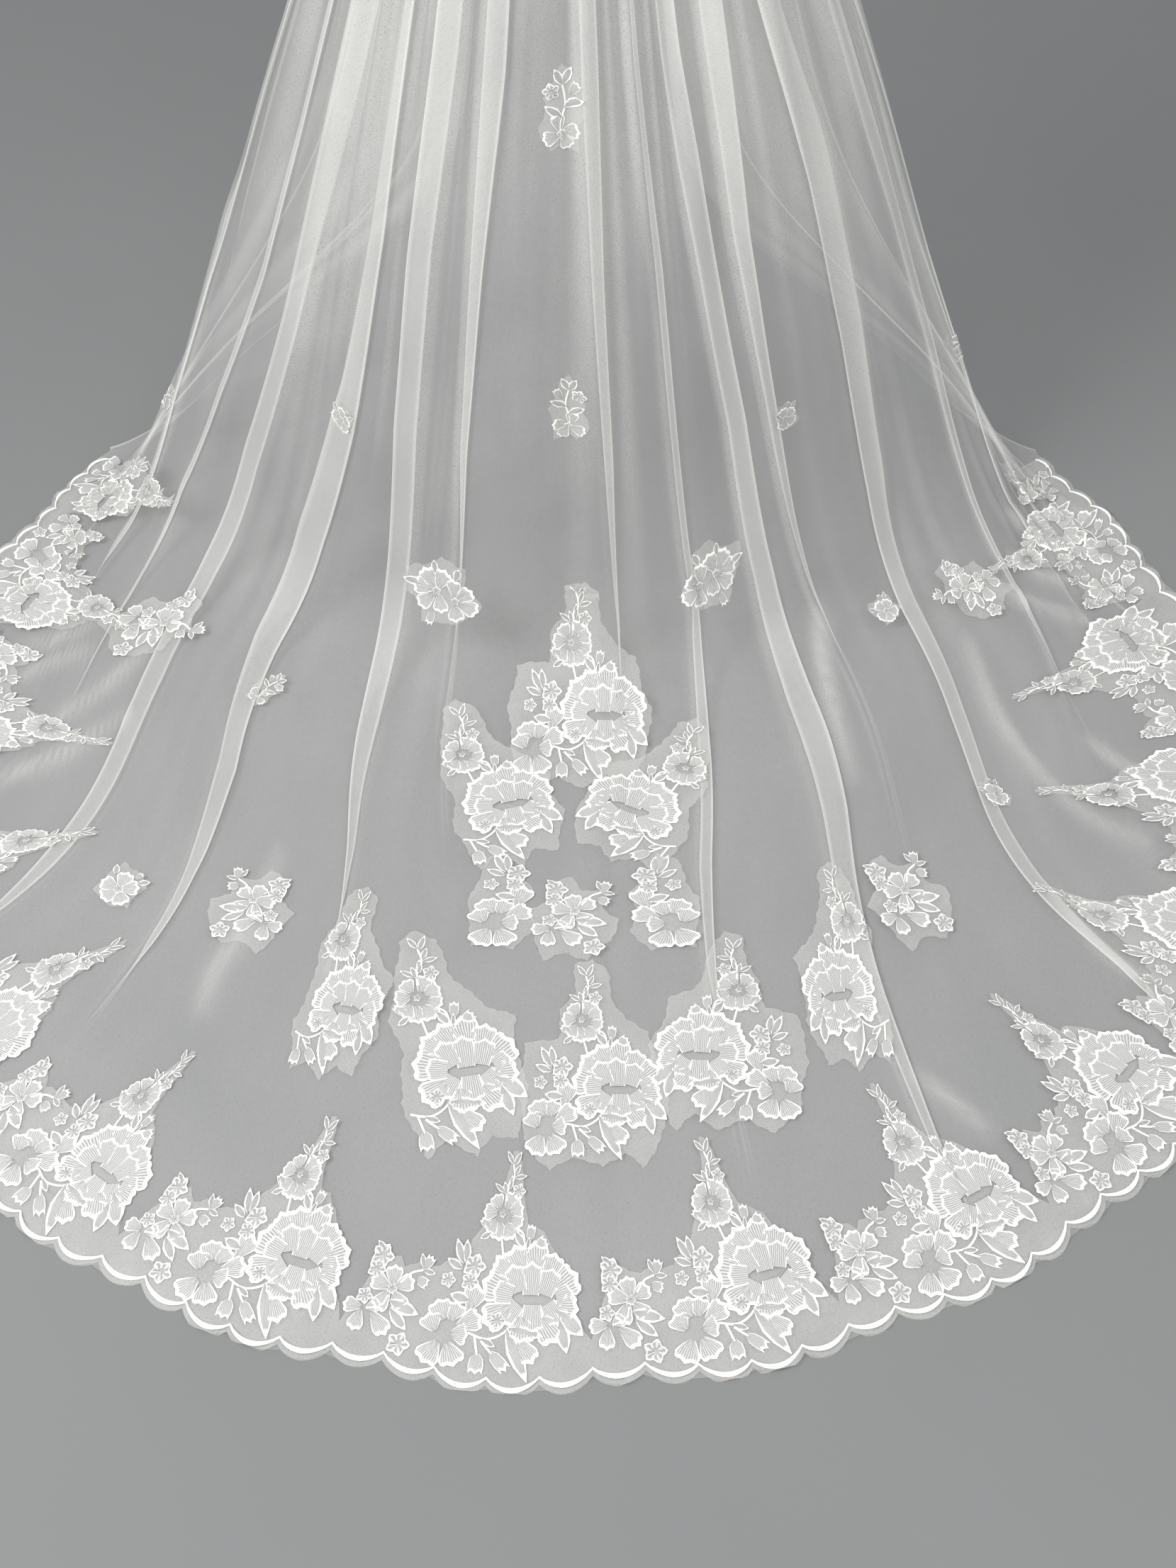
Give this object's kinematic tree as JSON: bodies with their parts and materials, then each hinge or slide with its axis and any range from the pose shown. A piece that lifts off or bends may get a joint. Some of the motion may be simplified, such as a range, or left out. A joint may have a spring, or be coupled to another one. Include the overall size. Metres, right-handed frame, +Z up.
{
  "type": "bridal veil",
  "caption": "Long one-tier bridal veil of ivory tulle gathered on a hair comb, its train spread on the floor, with a scalloped flower lace hem and scattered lace flowers.",
  "frame": {"origin": "the comb that the veil hangs from, at the middle of its top edge, 1.6 m above the floor", "axes": "+Z up; the train spreads over the floor toward -Y; +X to the right seen from the train's end"},
  "size_m": [1.991, 1.6726, 1.602],
  "materials": {
    "tulle": "fine net",
    "lace": "matt thread",
    "ribbon": "satin",
    "comb_plastic": "clear"
  },
  "bodies": {
    "root": {"comb": "comb_plastic", "heading_binding": "ribbon", "tulle": "tulle", "lace_hem": "lace", "applique_01": "lace", "applique_02": "lace", "applique_03": "lace", "applique_04": "lace", "applique_05": "lace", "applique_06": "lace", "applique_07": "lace", "applique_08": "lace", "applique_09": "lace", "applique_10": "lace", "applique_11": "lace", "applique_12": "lace", "applique_13": "lace", "applique_14": "lace", "applique_15": "lace", "applique_16": "lace", "applique_17": "lace", "applique_18": "lace", "applique_19": "lace", "applique_20": "lace", "applique_21": "lace", "applique_22": "lace", "applique_23": "lace", "applique_24": "lace", "applique_25": "lace", "applique_26": "lace", "applique_27": "lace"}
  },
  "joints": []
}
